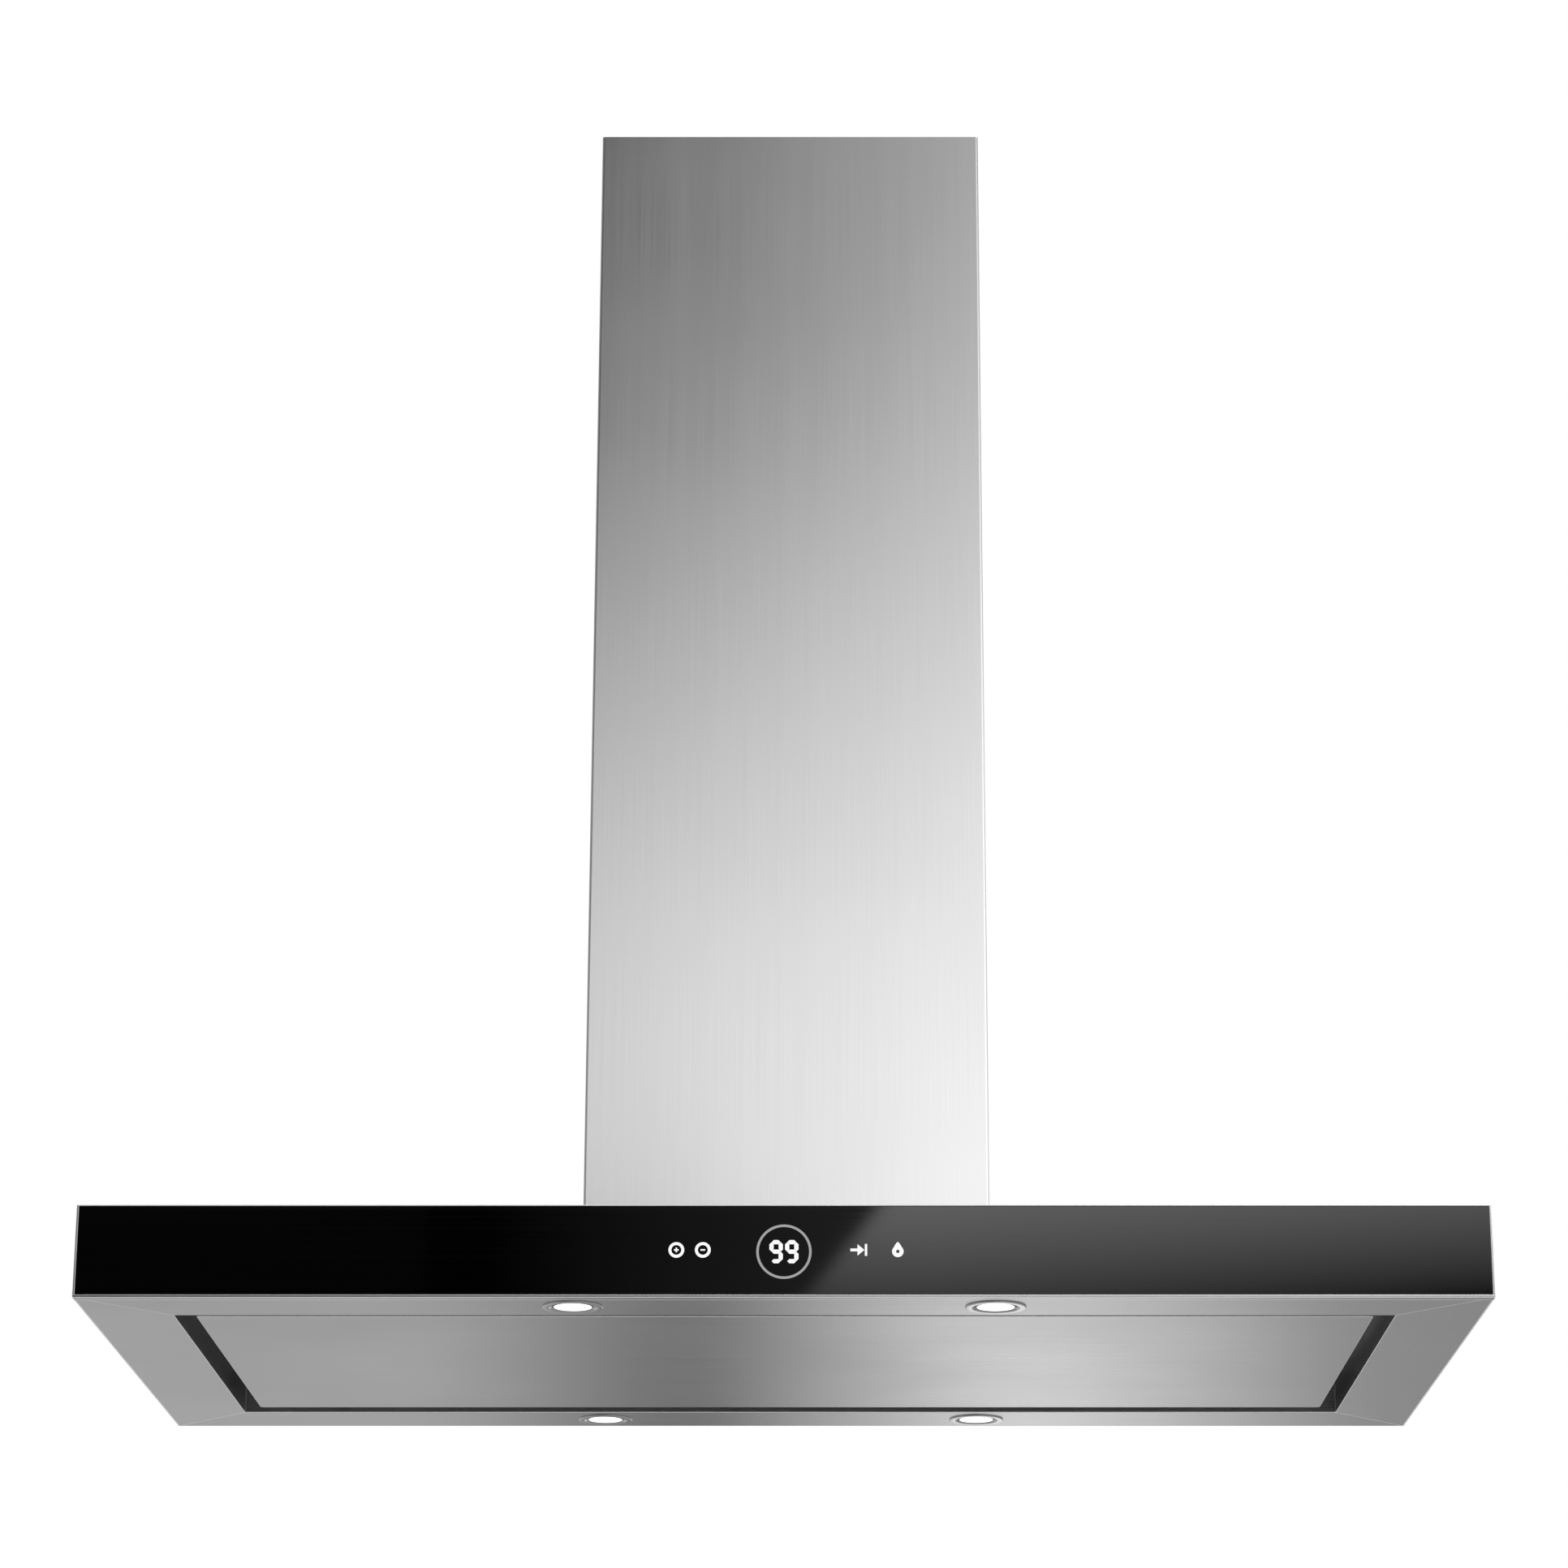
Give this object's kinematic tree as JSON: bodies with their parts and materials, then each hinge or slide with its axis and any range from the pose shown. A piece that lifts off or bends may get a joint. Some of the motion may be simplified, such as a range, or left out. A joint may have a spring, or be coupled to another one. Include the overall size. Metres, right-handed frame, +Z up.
{
  "type": "island range hood",
  "caption": "Ceiling-hung cooker hood: a flat steel canopy with a black glass front and an edge-suction panel under a tall square chimney.",
  "frame": {"origin": "middle of the ceiling plate's top face, where the hood meets the ceiling", "axes": "+Z up, the glass front with the controls faces -Y, +X is to the right of someone facing the controls"},
  "size_m": [1.2, 0.62, 1.1665],
  "materials": {
    "brushed_steel": "fine brushed stainless steel",
    "galvanised": "galvanised sheet steel",
    "fastener": "zinc-plated",
    "black_glass": "polished, printed black on the back",
    "circuit_board": "solder resist",
    "black_plastic": "moulded",
    "filter_frame": "satin",
    "filter_mesh": "expanded mesh",
    "bezel": "satin",
    "lamp_lens": "frosted",
    "cast_aluminium": "cast",
    "cable": "matt sheath",
    "motor_paint": "semi-gloss",
    "shaft": "ground",
    "fan_paint": "pressed sheet",
    "capacitor_shell": "moulded"
  },
  "bodies": {
    "ceiling_mount": {"ceiling_plate": "galvanised", "upper_angles": "galvanised", "upper_straps": "galvanised", "flue_front": "brushed_steel", "flue_rear": "brushed_steel"},
    "hood": {"chimney_front": "brushed_steel", "chimney_rear": "brushed_steel", "canopy_shell": "brushed_steel", "front_fascia": "brushed_steel", "border_front": "brushed_steel", "border_rear": "brushed_steel", "border_left": "brushed_steel", "border_right": "brushed_steel", "seam_strips": "galvanised", "lower_angles": "galvanised", "lower_straps": "galvanised", "filter_carrier": "galvanised", "hinge_brackets": "galvanised", "scroll_housing": "galvanised", "blower_rails": "galvanised", "motor_bracket": "galvanised", "seam_screws": "fastener", "clamp_bolts": "fastener", "carrier_screws": "fastener", "blower_screws": "fastener", "front_glass": "black_glass", "touch_board": "circuit_board", "display_module": "black_plastic", "panel_catches": "black_plastic", "outlet_collar": "black_plastic", "control_box": "black_plastic", "terminal_box": "black_plastic", "cable_gland": "black_plastic", "inlet_rings": "black_plastic", "filter_frame_left": "filter_frame", "filter_frame_centre": "filter_frame", "filter_frame_right": "filter_frame", "filter_mesh_left": "filter_mesh", "filter_mesh_centre": "filter_mesh", "filter_mesh_right": "filter_mesh", "lamp_bezels": "bezel", "lamp_lenses": "lamp_lens", "lamp_bodies": "cast_aluminium", "lamp_cable": "cable", "power_cables": "cable", "motor": "motor_paint", "damper_rod": "shaft", "capacitor": "capacitor_shell"},
    "suction_panel": {"panel_face": "brushed_steel", "panel_backing": "galvanised", "panel_lugs": "galvanised", "hinge_pins": "fastener", "strike_plates": "fastener"},
    "fan": {"fan_wheel": "fan_paint", "motor_shaft": "shaft"},
    "front_flap": {"damper_front": "black_plastic"},
    "rear_flap": {"damper_rear": "black_plastic"},
    "left_latch": {"latch_left": "black_plastic"},
    "centre_latch": {"latch_centre": "black_plastic"},
    "right_latch": {"latch_right": "black_plastic"}
  },
  "joints": [
    {"name": "height_slide", "type": "slide", "parent": "ceiling_mount", "child": "hood", "axis": [0, 0, -1], "range_m": [0, 0.3]},
    {"name": "panel_hinge", "type": "hinge", "parent": "hood", "child": "suction_panel", "pos_m": [0, 0.205, -1.156], "axis": [1, 0, 0], "range_deg": [0, 88]},
    {"name": "fan_spin", "type": "hinge", "parent": "hood", "child": "fan", "pos_m": [0, -0.05, -0.987], "axis": [1, 0, 0], "continuous": true},
    {"name": "front_flap_hinge", "type": "hinge", "parent": "hood", "child": "front_flap", "pos_m": [0, 0, -0.805], "axis": [-1, 0, 0], "range_deg": [0, 80]},
    {"name": "rear_flap_hinge", "type": "hinge", "parent": "hood", "child": "rear_flap", "pos_m": [0, 0, -0.805], "axis": [1, 0, 0], "range_deg": [0, 80]},
    {"name": "left_latch_slide", "type": "slide", "parent": "hood", "child": "left_latch", "axis": [0, 1, 0], "range_m": [0, 0.008], "stiffness_N_per_m": 400},
    {"name": "centre_latch_slide", "type": "slide", "parent": "hood", "child": "centre_latch", "axis": [0, 1, 0], "range_m": [0, 0.008], "stiffness_N_per_m": 400},
    {"name": "right_latch_slide", "type": "slide", "parent": "hood", "child": "right_latch", "axis": [0, 1, 0], "range_m": [0, 0.008], "stiffness_N_per_m": 400}
  ]
}
